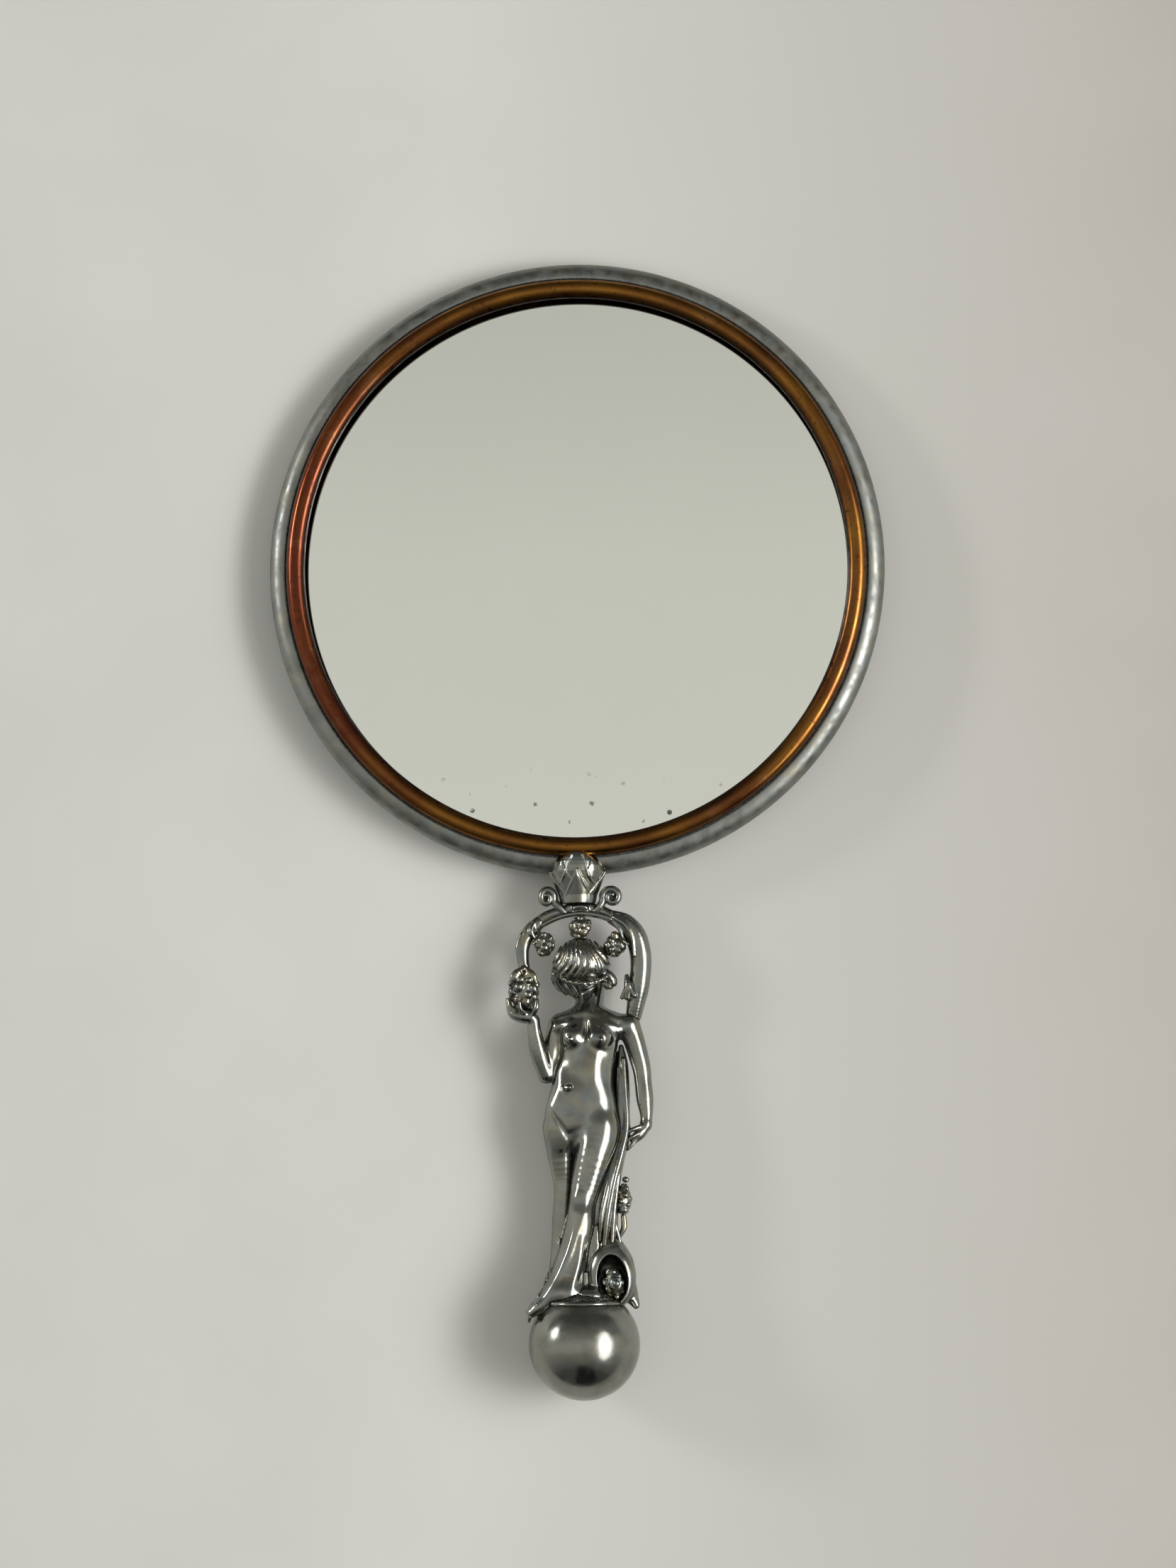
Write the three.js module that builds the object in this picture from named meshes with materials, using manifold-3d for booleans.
// Hand mirror with a cast pewter handle.
//
// A round pewter rim carries a copper bezel, and the glass, its silvering, a card and a back plate are
// stacked in the rim's bore behind the bezel and held there by a snap ring. A leaf-shaped collar joins the
// rim to the handle, which is a group of castings soldered together: an arch hung with fruit, a standing
// figure with a bunch of grapes, her drapery, a horn of plenty and a plinth. A hollow ball, bolted under
// the plinth, ends the handle.
//
// Millimetres. The mirror is modelled flat: X to the right, Y from the handle towards the rim, Z out of the
// glass. The last step lays it on a table, where it touches at the ball and at the rim's far edge.

import * as THREE from "three";
import { mergeVertices } from "three/addons/utils/BufferGeometryUtils.js";
import Module from "manifold-3d";

const wasm = await Module();
wasm.setup();

// ---- Driving dimensions -------------------------------------------------------------------------------

// Gaps
const STACK_GAP = 0.05; // between the parts stacked in the rim
const WIRE_GAP = 0.25; // between the snap ring's wire and its groove
const SEAM = 0.2; // solder seam between two castings
const PIN_GAP = 0.05; // round a dowel, stud or nut

// Glass and what lies behind it
const GLASS_RADIUS = 64.5;
const GLASS_THICKNESS = 3;
const GLASS_MARGIN = 0.25; // between the glass's edge and the bezel's skirt
const SILVER_THICKNESS = 0.2;
const SILVER_INSET = 0.2; // the silvering stops short of the glass's edge
const CARD_THICKNESS = 1.2;
const PLATE_THICKNESS = 1;
const PLATE_FLANGE = 2.2; // flat border of the back plate, outside its dished middle
const PLATE_DISH = 0.4; // how far the middle stands out behind the border

// Bezel
const LIP_OVERLAP = 2.3; // how far the bezel covers the glass
const SKIRT_WALL = 0.6;
const SKIRT_DEPTH = 2.6;
const BEZEL_SHOULDER = 1.2; // how far the bezel's head covers the rim
const BEZEL_FOOT = 0.6; // straight edge under the half-round head
const BEZEL_RISE = 2; // height of the half-round above that edge

// Rim
const RIM_WALL = 5.3;
const RIM_SEAT_Z = 1.95; // ledge that the bezel's head sits on
const RIM_LEDGE = 1.4; // width of that ledge
const RIM_RISE = 0.5; // the rim's front stands this far above the ledge
const RIM_EDGE_Z = -0.8; // height of the widest point of the rim
const RIM_BACK_LIP = 1.5; // how far the back is drawn in from the widest point
const RIM_BACK_MARGIN = 0.5; // from the snap ring to the back face

// Snap ring
const WIRE_RADIUS = 0.55;
const WIRE_PROUD = 0.1; // wire centre inside the bore's wall
const WIRE_OPENING = 0.35; // half the angle left open between its ends, in radians

// Handle
const FIGURE_HEIGHT = 86; // from the top of her hair to her toes
const DOWEL_RADIUS = 1.5;
const DOWEL_Z = -1; // the dowel's height, the middle of the rim's wall
const DOWEL_SKIN = 0.8; // wall left between the dowel's hole and the bore

// Ball and plinth
const BALL_RADIUS = 12.6;
const BALL_WALL = 1.6;
const PLINTH_RADIUS = 10.4;
const PLINTH_LIP = 0.4;
const PLINTH_STEP_RADIUS = 8.3;
const PLINTH_STEP = 2.4; // height of the hollow moulding above the lip
const BOSS_RADIUS = 3.4;
const BOSS_HEIGHT = 4.2; // above the top of the ball
const STUD_RADIUS = 1.95;
const NUT_RADIUS = 4; // across the corners
const NUT_THICKNESS = 2.4;
const NUT_GAP = 0.2; // between the nut's corners and the shell

// How finely round things are cut
const RING_SEGMENTS = 54;
const BALL_SEGMENTS = 24;
const LIMB_SEGMENTS = 8;
const BERRY_SEGMENTS = 6;

// ---- Sizes that follow from them ----------------------------------------------------------------------

const SKIRT_INNER = GLASS_RADIUS + GLASS_MARGIN;
const SKIRT_OUTER = SKIRT_INNER + SKIRT_WALL;
const BORE_RADIUS = SKIRT_OUTER + STACK_GAP;
const OPENING_RADIUS = GLASS_RADIUS - LIP_OVERLAP;
const BEZEL_RADIUS = BORE_RADIUS + BEZEL_SHOULDER;
const RIM_RADIUS = BORE_RADIUS + RIM_WALL;

const BEZEL_Z = RIM_SEAT_Z + STACK_GAP;
const GLASS_FRONT = BEZEL_Z - STACK_GAP;
const GLASS_BACK = GLASS_FRONT - GLASS_THICKNESS;
const SILVER_FRONT = GLASS_BACK - STACK_GAP;
const SILVER_BACK = SILVER_FRONT - SILVER_THICKNESS;
const CARD_FRONT = SILVER_BACK - STACK_GAP;
const CARD_BACK = CARD_FRONT - CARD_THICKNESS;
const PLATE_FRONT = CARD_BACK - STACK_GAP;
const PLATE_BACK = PLATE_FRONT - PLATE_THICKNESS;
const WIRE_Z = PLATE_BACK - STACK_GAP - WIRE_RADIUS;
const GROOVE_RADIUS = WIRE_RADIUS + WIRE_GAP;
const RIM_BACK = WIRE_Z - WIRE_RADIUS - RIM_BACK_MARGIN;

const SCULPTED_HEIGHT = 86; // the height at which the figure's points below are written
const SCALE = FIGURE_HEIGHT / SCULPTED_HEIGHT;
const BALL_TOP = -93.6 * SCALE - RIM_RADIUS;
const BALL_Y = BALL_TOP - BALL_RADIUS;
const DOWEL_TOP = -(BORE_RADIUS + DOWEL_SKIN);
const DOWEL_END = -8.6 * SCALE - RIM_RADIUS;

// ---- Materials ----------------------------------------------------------------------------------------

const finish = (color, roughness, metalness) =>
  new THREE.MeshStandardMaterial({ color, roughness, metalness });

const PEWTER = finish(0x8d8c85, 0.32, 1);
const COPPER = finish(0x8a5a2c, 0.25, 1);
const GLASS = finish(0xdfe6e2, 0.02, 0);
const SILVER = finish(0xd6d8d4, 0.05, 1);
const CARD = finish(0x9a8360, 0.9, 0);
const STEEL = finish(0x77797c, 0.35, 1);

// ---- Solids -------------------------------------------------------------------------------------------

/** A closed three.js geometry as a solid. */
function solid(geometry) {
  const bare = new THREE.BufferGeometry();
  bare.setAttribute("position", geometry.getAttribute("position"));
  bare.setIndex(geometry.index);
  const merged = mergeVertices(bare, 1e-4);
  return new wasm.Manifold(
    new wasm.Mesh({
      numProp: 3,
      vertProperties: merged.getAttribute("position").array,
      triVerts: new Uint32Array(merged.index.array),
    }),
  );
}

/** A solid as a three.js geometry. */
function geometryOf(made) {
  const mesh = made.getMesh();
  const points = new Float32Array(mesh.numVert * 3);
  for (let i = 0; i < mesh.numVert; i++) {
    const start = i * mesh.numProp;
    points.set(mesh.vertProperties.subarray(start, start + 3), i * 3);
  }
  const geometry = new THREE.BufferGeometry();
  geometry.setAttribute("position", new THREE.BufferAttribute(points, 3));
  geometry.setIndex(new THREE.BufferAttribute(mesh.triVerts, 1));
  geometry.computeVertexNormals();
  return geometry;
}

const joined = (solids) => solids.reduce((whole, piece) => whole.add(piece));

/** A solid with others cut out of it, keeping its largest body. */
function cutBy(made, ...cutters) {
  const left = cutters.reduce((rest, cutter) => rest.subtract(cutter), made);
  const bodies = left.decompose();
  return bodies.reduce((a, b) => (a.volume() > b.volume() ? a : b));
}

/** A ring or disc turned about Z from its section, given as [radius, z] pairs. */
function turned(section, segments = RING_SEGMENTS) {
  const profile = section.map(([radius, z]) => new THREE.Vector2(radius, z));
  const onAxis = section[0][0] === 0;
  if (!onAxis) profile.push(profile[0].clone());
  const geometry = new THREE.LatheGeometry(profile, segments);
  geometry.rotateX(Math.PI / 2);
  return rightSideOut(geometry);
}

/** A body turned about Y from [radius, y] pairs. */
function turnedUpright(section, segments) {
  const profile = section.map(([radius, y]) => new THREE.Vector2(radius, y));
  if (section[0][0] !== 0) profile.push(profile[0].clone());
  return rightSideOut(new THREE.LatheGeometry(profile, segments));
}

/** The solid of a closed geometry whose faces may all point in. */
function rightSideOut(geometry) {
  const made = solid(geometry);
  if (made.volume() > 0) return made;
  const index = geometry.index.array;
  for (let i = 0; i < index.length; i += 3) {
    [index[i + 1], index[i + 2]] = [index[i + 2], index[i + 1]];
  }
  return solid(geometry);
}

const disc = (radius, front, back) =>
  turned([
    [0, back],
    [radius, back],
    [radius, front],
    [0, front],
  ]);

/** Points on a quarter or half ellipse in a section, from one angle to another. */
function ellipseArc([cx, cy], [rx, ry], from, to, steps) {
  return Array.from({ length: steps + 1 }, (_, i) => {
    const angle = from + ((to - from) * i) / steps;
    return [cx + rx * Math.cos(angle), cy + ry * Math.sin(angle)];
  });
}

// ---- The sculptor's shapes, written in the handle's frame ----------------------------------------------
// Y is measured from the rim's edge, and each shape is a function of how much it is grown on every side.

/** A point of the handle's frame in the mirror's frame. */
const place = (x, y, z) =>
  new THREE.Vector3(x * SCALE, y * SCALE - RIM_RADIUS, z * SCALE);

/** An ellipsoid with its middle at a point, turned by an angle about Z. */
const lump = (middle, radii, turn = 0, around = LIMB_SEGMENTS) => (grow) => {
  const rows = Math.floor(around / 2);
  const geometry = new THREE.SphereGeometry(1, around, rows);
  geometry.scale(...radii.map((radius) => radius * SCALE + grow));
  geometry.rotateZ(turn);
  geometry.translate(...place(...middle).toArray());
  return solid(geometry);
};

/** A round-ended taper from [x, y, z, radius] to another. */
const limb =
  ([x0, y0, z0, r0], [x1, y1, z1, r1]) =>
  (grow) => {
    const start = place(x0, y0, z0);
    const end = place(x1, y1, z1);
    const along = end.clone().sub(start);
    const length = along.length();
    const low = r0 * SCALE + grow;
    const high = r1 * SCALE + grow;
    const section = [
      ...ellipseArc([0, 0], [low, low], -Math.PI / 2, 0, 2),
      ...ellipseArc([0, length], [high, high], 0, Math.PI / 2, 2),
    ];
    section[0][0] = 0;
    section[section.length - 1][0] = 0;
    const profile = section.map(([radius, y]) => new THREE.Vector2(radius, y));
    const geometry = new THREE.LatheGeometry(profile, LIMB_SEGMENTS);
    const upright = new THREE.Vector3(0, 1, 0);
    const turn = new THREE.Quaternion().setFromUnitVectors(
      upright,
      along.normalize(),
    );
    geometry.applyQuaternion(turn);
    geometry.translate(...start.toArray());
    return rightSideOut(geometry);
  };

/** Limbs joined end to end through a list of [x, y, z, radius]. */
const chain = (joints) =>
  joints.slice(1).map((joint, i) => limb(joints[i], joint));

/** A list of the sculptor's shapes as one solid. */
const shaped = (shapes, grow = 0) =>
  joined(shapes.map((shape) => shape(grow)));

/** Berries in rings round an upright or leaning core. */
function berries([x, y, z], [width, height], turn, rows) {
  const core = lump([x, y, z], [width * 0.8, height * 0.9, width * 0.8], turn);
  const found = [core];
  rows.forEach(([share, reach, count], row) => {
    for (let i = 0; i < count; i++) {
      const angle = ((i + (row % 2) / 2) / count) * 2 * Math.PI;
      const across = Math.sin(angle) * width * reach;
      const up = share * height;
      const berry = [
        x + across * Math.cos(turn) - up * Math.sin(turn),
        y + across * Math.sin(turn) + up * Math.cos(turn),
        z + Math.cos(angle) * width * reach,
      ];
      const radius = width * 0.44;
      found.push(lump(berry, [radius, radius, radius], 0, BERRY_SEGMENTS));
    }
  });
  return found;
}

const FIGURE = [
  // head, hair and neck
  lump([0.9, -19.4, 1.3], [4.2, 5.1, 4.6], 0.12),
  lump([0.1, -18.6, -0.3], [6.2, 4.5, 5], 0.1),
  ...chain([
    [-4.8, -20.6, -0.6, 1.6],
    [-3.6, -24.4, -1.6, 1.2],
    [-1.8, -28.2, -2.2, 0.9],
  ]),
  lump([6.2, -23.2, -0.8], [1.9, 1.9, 1.9]),
  limb([1.3, -23, -0.6, 2.7], [1.6, -30.5, -0.8, 2.9]),
  // trunk
  limb([-4.2, -33.6, -0.8, 2.3], [9.6, -34, -1.2, 2.5]),
  lump([2.6, -34.6, -0.3], [7.2, 4.4, 4]),
  lump([1.9, -38.4, 0], [6.8, 6.8, 4.5]),
  lump([-2.3, -37.2, 3.6], [2.7, 2.5, 2.2]),
  lump([4.4, -37.6, 3.7], [2.8, 2.6, 2.3]),
  lump([0.8, -45.8, 0.3], [6, 7, 4.3]),
  lump([-0.2, -50.4, 1.1], [6, 5.6, 4.4]),
  lump([-0.4, -55.2, 0], [8.3, 6.2, 5]),
  // her left leg, which bears no weight, and the foot that rests on the ball
  ...chain([
    [3.6, -57.6, 1.2, 4.6],
    [1.4, -66, 2.2, 4.1],
    [-0.6, -73, 2.9, 3.1],
    [-0.7, -80, 2.3, 3],
    [-2.6, -88, 1.6, 2.2],
    [-4.4, -93.6, 1.8, 1.9],
  ]),
  ...chain([
    [-3.8, -93, 1.2, 2.2],
    [-8, -95.9, 2.8, 2],
    [-11.8, -98.6, 3.2, 1.3],
  ]),
  // her right leg
  ...chain([
    [-4.8, -57.6, -0.6, 3.9],
    [-4.6, -66, -0.8, 3.3],
    [-4.4, -73, -1.2, 2.5],
    [-5, -80, -1.9, 2.3],
    [-6, -92, -1.8, 1.8],
  ]),
  // her right arm, bent up, and the hand under the grapes
  ...chain([
    [-5, -33.7, -0.8, 2.1],
    [-7.6, -44.6, 0, 1.8],
    [-9.4, -39.6, 1.4, 1.7],
    [-10.7, -33, 1.8, 1.3],
    [-12.6, -31, 1.6, 1.5],
  ]),
  lump([-13.2, -30.8, 1.4], [2.9, 1.5, 2.4], -0.15),
  // her left arm, hanging, and the hand that gathers the drapery
  ...chain([
    [10.8, -34.2, -1.2, 2.5],
    [12.8, -41, -1.6, 2.3],
    [13.8, -47, -1.4, 2],
    [14.4, -56, -0.8, 1.3],
    [11, -58.6, 0.2, 1.1],
  ]),
];

const GRAPES = berries([-12.7, -25.8, 1.2], [3.7, 5], 0, [
  [0.72, 0.42, 3],
  [0.32, 0.74, 5],
  [-0.14, 0.78, 5],
  [-0.6, 0.5, 4],
]);

const DRAPERY = chain([
  [8.9, -39.4, -1.6, 0.9],
  [8.8, -45, -1.2, 1.6],
  [8.7, -53, -0.2, 1.7],
  [8.2, -59.5, 0.8, 1.9],
  [6.7, -65, 1.4, 2.2],
  [6.5, -70, 1.2, 2.6],
  [5, -76.5, 0.9, 2.7],
  [4.9, -83, 0.6, 2.6],
]);

const VEIL = [
  ...chain([
    [-5.2, -52.5, -4.6, 1.7],
    [-5.4, -64, -4.4, 2.1],
    [-4.2, -74, -4.4, 2.1],
    [-4.6, -84, -4, 2.5],
    [-6.4, -92, -2.2, 2.4],
    [-10.2, -97.6, -0.2, 1.4],
  ]),
  ...chain([
    [0.4, -52.5, -5, 1.6],
    [0.6, -66, -4.6, 2.4],
    [1, -78, -4.6, 2.6],
    [0.6, -90, -3.4, 3],
  ]),
];

const CALF_BUNCH = berries([8.9, -72.9, -1.2], [2.3, 4], 0.1, [
  [0.55, 0.5, 3],
  [0, 0.72, 4],
  [-0.55, 0.5, 3],
]);

const HORN = [
  lump([6.4, -91.6, -0.6], [5, 8, 5], 0.08),
  ...chain([
    [4.6, -83.6, 0, 2.4],
    [5.6, -86.4, 0, 3.4],
  ]),
  ...chain([
    [8.6, -94, -1.6, 3],
    [10.8, -97.2, -1.4, 1.4],
  ]),
];
const HORN_MOUTH = [lump([6.3, -91.8, 4.6], [3.5, 5.4, 2.8], 0.08)];

const HORN_FRUIT = berries([6.6, -92.2, 3.4], [2.4, 3.8], 0.1, [
  [0.5, 0.45, 3],
  [0, 0.6, 4],
  [-0.5, 0.45, 3],
]);

const CROWN = [
  ...chain([
    [-8.4, -9.8, 0, 1],
    [-4.4, -8, 0, 1.2],
    [0, -7.7, 0, 1.5],
    [4.4, -8.3, 0, 1.3],
    [6.6, -9.2, 0, 1.2],
  ]),
  lump([0, -8, -0.4], [3.6, 1.7, 2.9]),
];

const LEFT_BRANCH = chain([
  [-8.8, -10.1, 0, 1.1],
  [-11.4, -12.6, 0.2, 1.4],
  [-12.6, -15.8, 0.4, 1.4],
  [-12.6, -20.8, 0.8, 1.3],
]);

const RIGHT_BAND = chain([
  [7.4, -9.8, 0, 1.5],
  [11.2, -12.2, 0, 2],
  [13.3, -16.4, -0.2, 2.2],
  [13.7, -20.6, -0.4, 2.3],
  [13, -26.4, -0.8, 2.3],
  [12, -31.4, -1.2, 1.9],
]);

const fruit = ([x, y, z], turn, stem) => [
  ...berries([x, y, z], [2.5, 3], turn, [
    [0.5, 0.5, 3],
    [0, 0.72, 4],
    [-0.5, 0.5, 3],
  ]),
  ...chain(stem),
];

const FRUIT_LEFT = fruit([-8, -15.9, 0.9], 0.5, [
  [-9.4, -13.4, 0.6, 0.6],
  [-10.6, -12, 0.4, 0.6],
]);
const FRUIT_CENTRE = fruit([0, -12, 1.2], 0, [
  [0, -9.8, 1, 0.7],
  [0, -8.6, 1, 0.7],
]);
const FRUIT_RIGHT = fruit([8, -16.2, 0.9], -0.5, [
  [9.4, -13.8, 0.6, 0.6],
  [10.6, -12.4, 0.4, 0.6],
]);

/** A volute: a tube that runs up from the arch and winds in to a round hub. */
function volute(side, [x, y], stem) {
  const turns = 1.1;
  const steps = 6;
  const [outer, inner] = [1.9, 0.9];
  const joints = stem.map(([sx, sy]) => [side * sx, sy, 0.3, 0.75]);
  for (let i = 0; i <= steps; i++) {
    const share = i / steps;
    const radius = outer + (inner - outer) * share;
    const angle = Math.PI * (1.05 - 2 * turns * share);
    const across = side * (x + radius * Math.cos(angle));
    const [z, wire] = [0.5 + 0.3 * share, 0.7 - 0.1 * share];
    joints.push([across, y + radius * Math.sin(angle), z, wire]);
  }
  return shaped([...chain(joints), lump([side * x, y, 0.7], [1.2, 1.2, 1.1])]);
}

/** A geometry's positions alone, so that its shared points can be merged. */
function bareCopy(geometry) {
  const bare = new THREE.BufferGeometry();
  bare.setAttribute("position", geometry.getAttribute("position"));
  return bare;
}

// ---- Head of the mirror --------------------------------------------------------------------------------

function rimRing() {
  const front = RIM_SEAT_Z + RIM_RISE;
  const crest = BORE_RADIUS + RIM_LEDGE;
  const backRadius = RIM_RADIUS - RIM_BACK_LIP;
  const section = [
    [BORE_RADIUS, RIM_BACK],
    [backRadius, RIM_BACK],
    ...ellipseArc(
      [backRadius, RIM_EDGE_Z],
      [RIM_BACK_LIP, RIM_EDGE_Z - RIM_BACK],
      -Math.PI / 3,
      0,
      2,
    ),
    ...ellipseArc(
      [crest, RIM_EDGE_Z],
      [RIM_RADIUS - crest, front - RIM_EDGE_Z],
      0,
      Math.PI / 2,
      4,
    ).slice(1),
    [crest, RIM_SEAT_Z],
    [BORE_RADIUS, RIM_SEAT_Z],
    ...ellipseArc(
      [BORE_RADIUS - WIRE_PROUD, WIRE_Z],
      [GROOVE_RADIUS, GROOVE_RADIUS],
      Math.PI / 2.4,
      -Math.PI / 2.4,
      3,
    ),
  ];
  return cutBy(turned(section), dowel(PIN_GAP));
}

function bezelRing() {
  const middle = (OPENING_RADIUS + BEZEL_RADIUS) / 2;
  const half = (BEZEL_RADIUS - OPENING_RADIUS) / 2;
  const foot = BEZEL_Z + BEZEL_FOOT;
  return turned([
    [OPENING_RADIUS, BEZEL_Z],
    [SKIRT_INNER, BEZEL_Z],
    [SKIRT_INNER, BEZEL_Z - SKIRT_DEPTH],
    [SKIRT_OUTER, BEZEL_Z - SKIRT_DEPTH],
    [SKIRT_OUTER, BEZEL_Z],
    [BEZEL_RADIUS, BEZEL_Z],
    ...ellipseArc([middle, foot], [half, BEZEL_RISE], 0, Math.PI, 6),
  ]);
}

function backPlate() {
  const edge = BORE_RADIUS - STACK_GAP;
  const flat = edge - PLATE_FLANGE;
  const dish = flat - PLATE_FLANGE;
  return turned([
    [0, PLATE_FRONT],
    [edge, PLATE_FRONT],
    [edge, PLATE_BACK],
    [flat, PLATE_BACK],
    [dish, PLATE_BACK - PLATE_DISH],
    [0, PLATE_BACK - PLATE_DISH],
  ]);
}

function snapRing() {
  const radius = BORE_RADIUS - WIRE_PROUD;
  const turnLeft = 2 * Math.PI - 2 * WIRE_OPENING;
  const geometry = new THREE.TorusGeometry(
    radius,
    WIRE_RADIUS,
    6,
    RING_SEGMENTS,
    turnLeft,
  );
  geometry.rotateZ(-Math.PI / 2 + WIRE_OPENING);
  geometry.translate(0, 0, WIRE_Z);
  return rightSideOut(withEnds(geometry));
}

/** A part-turn torus with its two open ends closed by fans. */
function withEnds(geometry) {
  const merged = mergeVertices(
    bareCopy(geometry.toNonIndexed()),
    1e-4,
  );
  const triangles = Array.from(merged.index.array);
  const next = new Map();
  const edges = new Set();
  for (let i = 0; i < triangles.length; i += 3) {
    for (let j = 0; j < 3; j++) {
      edges.add(triangles[i + j] + "," + triangles[i + ((j + 1) % 3)]);
    }
  }
  for (const edge of edges) {
    const [from, to] = edge.split(",").map(Number);
    if (!edges.has(to + "," + from)) next.set(to, from);
  }
  while (next.size) {
    const [start] = next.keys();
    const loop = [start];
    for (let at = next.get(start); at !== start; at = next.get(at)) {
      loop.push(at);
    }
    loop.forEach((point) => next.delete(point));
    for (let i = 1; i + 1 < loop.length; i++) {
      triangles.push(loop[0], loop[i], loop[i + 1]);
    }
  }
  merged.setIndex(triangles);
  return merged;
}

// ---- Handle --------------------------------------------------------------------------------------------

/** The steel dowel through the rim, the collar and the arch's crown, or its hole when grown. */
function dowel(grow = 0) {
  const length = DOWEL_TOP - DOWEL_END + 2 * grow;
  const radius = DOWEL_RADIUS + grow;
  const geometry = new THREE.CylinderGeometry(radius, radius, length, 12);
  geometry.translate(0, (DOWEL_TOP + DOWEL_END) / 2, DOWEL_Z);
  return solid(geometry);
}

/** The bud of leaves that laps over the rim's front, up to the bezel. */
function leafCollar() {
  const top = -(BEZEL_RADIUS + SEAM);
  const foot = -6.3 * SCALE - RIM_RADIUS;
  const reach = top - foot;
  const section = [
    [0, foot],
    [3.4, foot],
    [4.6, foot + 0.24 * reach],
    [6.2, foot + 0.52 * reach],
    [6.5, foot + 0.68 * reach],
    [5.4, foot + 0.86 * reach],
    [3, foot + 0.97 * reach],
    [0, top],
  ];
  const bud = turnedUpright(section, 9).scale([1, 1, 0.82]);
  const crest = BORE_RADIUS + RIM_LEDGE;
  const front = RIM_SEAT_Z + RIM_RISE;
  const cutter = turned([
    [0, RIM_BACK - BALL_RADIUS],
    [RIM_RADIUS + SEAM, RIM_BACK - BALL_RADIUS],
    ...ellipseArc(
      [crest, RIM_EDGE_Z],
      [RIM_RADIUS - crest + SEAM, front - RIM_EDGE_Z + SEAM],
      0,
      Math.PI / 2,
      4,
    ),
    [0, front + SEAM],
  ]);
  return cutBy(bud, cutter, dowel(PIN_GAP));
}

const archCrown = () =>
  cutBy(shaped(CROWN), collarZone(), dowel(PIN_GAP));

/** Everything above the collar's foot, where only the collar may be. */
function collarZone() {
  const foot = -6.3 * SCALE - RIM_RADIUS;
  const geometry = new THREE.BoxGeometry(14, 20, 20);
  geometry.translate(0, foot - SEAM + 10, 0);
  return solid(geometry);
}

// ---- Ball ----------------------------------------------------------------------------------------------

function ballShell(sign) {
  const inner = BALL_RADIUS - BALL_WALL;
  const split = (sign * STACK_GAP) / 2;
  const section = [
    ...ellipseArc([0, BALL_Y], [BALL_RADIUS, BALL_RADIUS], 0, Math.PI / 2, 6),
    ...ellipseArc([0, BALL_Y], [inner, inner], Math.PI / 2, 0, 6),
  ].map(([radius, y]) => [
    Math.max(radius, 0),
    BALL_Y + sign * (y - BALL_Y) + split,
  ]);
  section[6][0] = 0;
  section[7][0] = 0;
  const shell = joinedHalf(section);
  return sign > 0 ? cutBy(shell, stud(PIN_GAP)) : shell;
}

/** A half shell turned about Y from a section that touches the axis in the middle of its list. */
function joinedHalf(section) {
  const half = section.length / 2;
  const around = [...section.slice(half), ...section.slice(0, half)];
  const profile = around.map(([radius, y]) => new THREE.Vector2(radius, y));
  return rightSideOut(new THREE.LatheGeometry(profile, BALL_SEGMENTS));
}

/** The ball's outer surface, for what sits on it. */
function ballZone() {
  const geometry = new THREE.SphereGeometry(BALL_RADIUS + SEAM, 32, 20);
  geometry.translate(0, BALL_Y, 0);
  return solid(geometry);
}

/** The plinth's outside: a boss, a dome over the ball, a hollow moulding and a lip. */
function plinthBlank(grow = 0) {
  const lipY = BALL_Y + Math.sqrt(BALL_RADIUS ** 2 - PLINTH_RADIUS ** 2);
  const stepY = lipY + PLINTH_LIP + PLINTH_STEP;
  const bossY = BALL_TOP + BOSS_HEIGHT;
  const section = [
    [0, lipY - PLINTH_LIP - grow],
    [PLINTH_RADIUS + grow, lipY - PLINTH_LIP - grow],
    [PLINTH_RADIUS + grow, lipY + PLINTH_LIP + grow],
    [PLINTH_STEP_RADIUS + 0.5 + grow, lipY + 2 * PLINTH_LIP + grow],
    [PLINTH_STEP_RADIUS + grow, stepY - PLINTH_LIP],
    [PLINTH_STEP_RADIUS + grow, stepY + grow],
    [BOSS_RADIUS + grow, BALL_TOP + SEAM + PLINTH_LIP + grow],
    [BOSS_RADIUS + grow, bossY + grow],
    [0, bossY + grow],
  ];
  return turnedUpright(section, 28);
}

const plinth = () => cutBy(plinthBlank(), ballZone(), stud(PIN_GAP));

/** The stud that holds the ball under the plinth, or its hole when grown. */
function stud(grow = 0) {
  const top = BALL_TOP + BOSS_HEIGHT - 1;
  const end = BALL_TOP - BALL_WALL - NUT_THICKNESS - 1;
  const radius = STUD_RADIUS + grow;
  const geometry = new THREE.CylinderGeometry(
    radius,
    radius,
    top - end + 2 * grow,
    12,
  );
  geometry.translate(0, (top + end) / 2, 0);
  return solid(geometry);
}

function ballNut() {
  const crown = Math.sqrt((BALL_RADIUS - BALL_WALL) ** 2 - NUT_RADIUS ** 2);
  const top = BALL_Y + crown - NUT_GAP;
  const geometry = new THREE.CylinderGeometry(
    NUT_RADIUS,
    NUT_RADIUS,
    NUT_THICKNESS,
    6,
  );
  geometry.translate(0, top - NUT_THICKNESS / 2, 0);
  return cutBy(solid(geometry), stud(PIN_GAP));
}

// ---- Assembly ------------------------------------------------------------------------------------------

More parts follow.
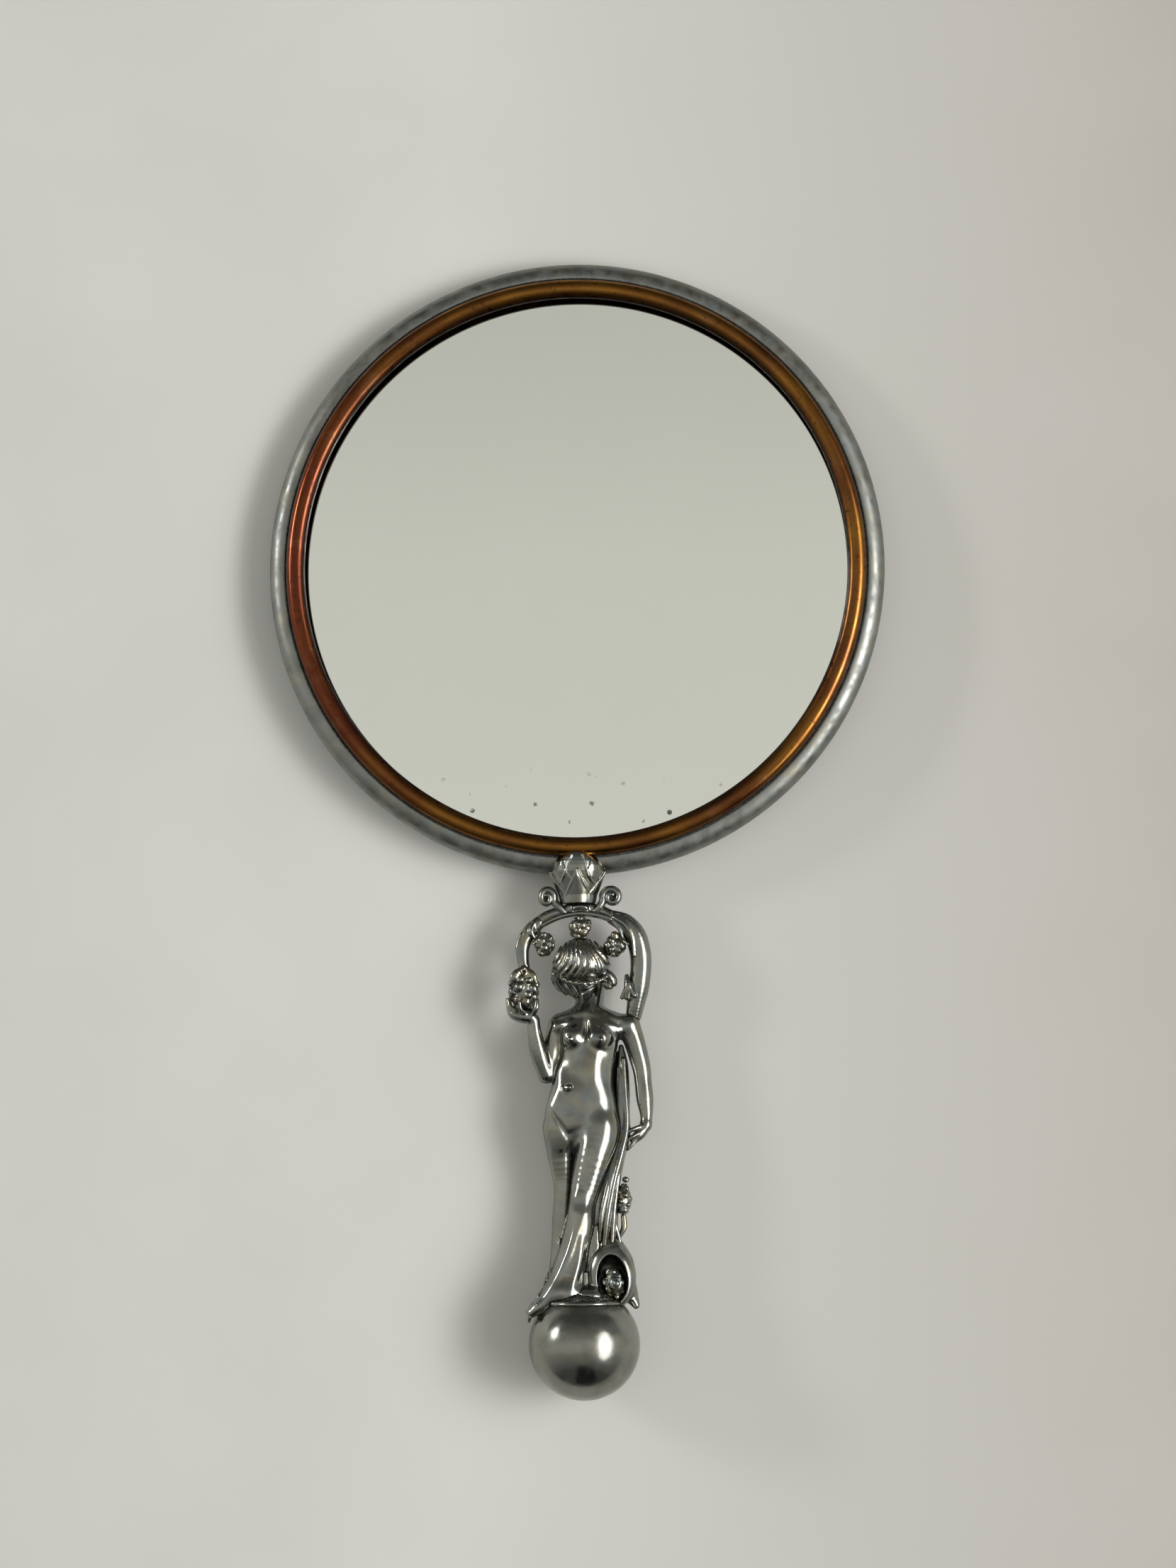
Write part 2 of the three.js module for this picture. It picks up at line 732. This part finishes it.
const figureZone = shaped(FIGURE, SEAM);
const plinthZone = plinthBlank(SEAM);
const figure = cutBy(shaped(FIGURE), plinthZone, ballZone());
const rightBand = cutBy(shaped(RIGHT_BAND), figureZone, shaped(CROWN, SEAM));
const leftBranch = cutBy(shaped(LEFT_BRANCH), shaped(CROWN, SEAM));
const grapes = cutBy(shaped(GRAPES), figureZone, shaped(LEFT_BRANCH, SEAM));
const drapery = cutBy(shaped(DRAPERY), figureZone);
const veil = cutBy(
  shaped(VEIL),
  figureZone,
  shaped(DRAPERY, SEAM),
  plinthZone,
  ballZone(),
);
const calfBunch = cutBy(
  shaped(CALF_BUNCH),
  figureZone,
  shaped(DRAPERY, SEAM),
  shaped(VEIL, SEAM),
);
const hornFruit = cutBy(shaped(HORN_FRUIT), plinthZone);
const horn = cutBy(
  shaped(HORN),
  shaped(HORN_MOUTH),
  shaped(HORN_FRUIT, SEAM),
  figureZone,
  shaped(DRAPERY, SEAM),
  shaped(VEIL, SEAM),
  plinthZone,
  ballZone(),
);
const underArch = [figureZone, shaped(CROWN, SEAM)];
const fruitLeft = cutBy(
  shaped(FRUIT_LEFT),
  ...underArch,
  shaped(LEFT_BRANCH, SEAM),
);
const fruitCentre = cutBy(shaped(FRUIT_CENTRE), ...underArch);
const fruitRight = cutBy(
  shaped(FRUIT_RIGHT),
  ...underArch,
  shaped(RIGHT_BAND, SEAM),
);
const scrollStem = [
  [4.4, -8.6],
  [4.7, -7.2],
];
const scrollZones = [
  shaped(CROWN, SEAM),
  shaped(RIGHT_BAND, SEAM),
  shaped(LEFT_BRANCH, SEAM),
];
const scrollRight = cutBy(
  volute(1, [7.4, -5.2], scrollStem),
  ...scrollZones,
);
const scrollLeft = cutBy(
  volute(-1, [7.8, -5.1], scrollStem),
  ...scrollZones,
);

const PARTS = [
  ["rim_ring", rimRing(), PEWTER],
  ["bezel_ring", bezelRing(), COPPER],
  ["mirror_glass", disc(GLASS_RADIUS, GLASS_FRONT, GLASS_BACK), GLASS],
  [
    "silver_backing",
    disc(GLASS_RADIUS - SILVER_INSET, SILVER_FRONT, SILVER_BACK),
    SILVER,
  ],
  ["backing_card", disc(GLASS_RADIUS, CARD_FRONT, CARD_BACK), CARD],
  ["back_plate", backPlate(), PEWTER],
  ["snap_ring", snapRing(), STEEL],
  ["leaf_collar", leafCollar(), PEWTER],
  ["tang_dowel", dowel(), STEEL],
  ["arch_crown", archCrown(), PEWTER],
  ["arch_left_branch", leftBranch, PEWTER],
  ["arch_right_band", rightBand, PEWTER],
  ["scroll_left", scrollLeft, PEWTER],
  ["scroll_right", scrollRight, PEWTER],
  ["fruit_left", fruitLeft, PEWTER],
  ["fruit_centre", fruitCentre, PEWTER],
  ["fruit_right", fruitRight, PEWTER],
  ["figure", figure, PEWTER],
  ["grape_bunch", grapes, PEWTER],
  ["side_drapery", drapery, PEWTER],
  ["back_veil", veil, PEWTER],
  ["calf_bunch", calfBunch, PEWTER],
  ["horn_of_plenty", horn, PEWTER],
  ["horn_fruit", hornFruit, PEWTER],
  ["plinth", plinth(), PEWTER],
  ["ball_upper_shell", ballShell(1), PEWTER],
  ["ball_lower_shell", ballShell(-1), PEWTER],
  ["ball_stud", stud(), STEEL],
  ["ball_nut", ballNut(), STEEL],
];

/** The tilt at which the ball and the rim's far back edge touch the table together. */
function lyingTilt() {
  const reach = RIM_RADIUS - RIM_BACK_LIP - BALL_Y;
  const drop = -RIM_BACK;
  return Math.asin(BALL_RADIUS / Math.hypot(reach, drop)) -
    Math.atan2(drop, reach);
}

const flatMirror = new THREE.Group();
for (const [name, made, material] of PARTS) {
  const mesh = new THREE.Mesh(geometryOf(made), material);
  mesh.name = name;
  flatMirror.add(mesh);
}
flatMirror.rotation.x = -lyingTilt();
flatMirror.updateMatrixWorld(true);

const bounds = new THREE.Box3().setFromObject(flatMirror, true);
flatMirror.position.set(
  -(bounds.min.x + bounds.max.x) / 2,
  -(bounds.min.y + bounds.max.y) / 2,
  -bounds.min.z,
);

const mirror = new THREE.Group();
mirror.add(flatMirror);

export default mirror;
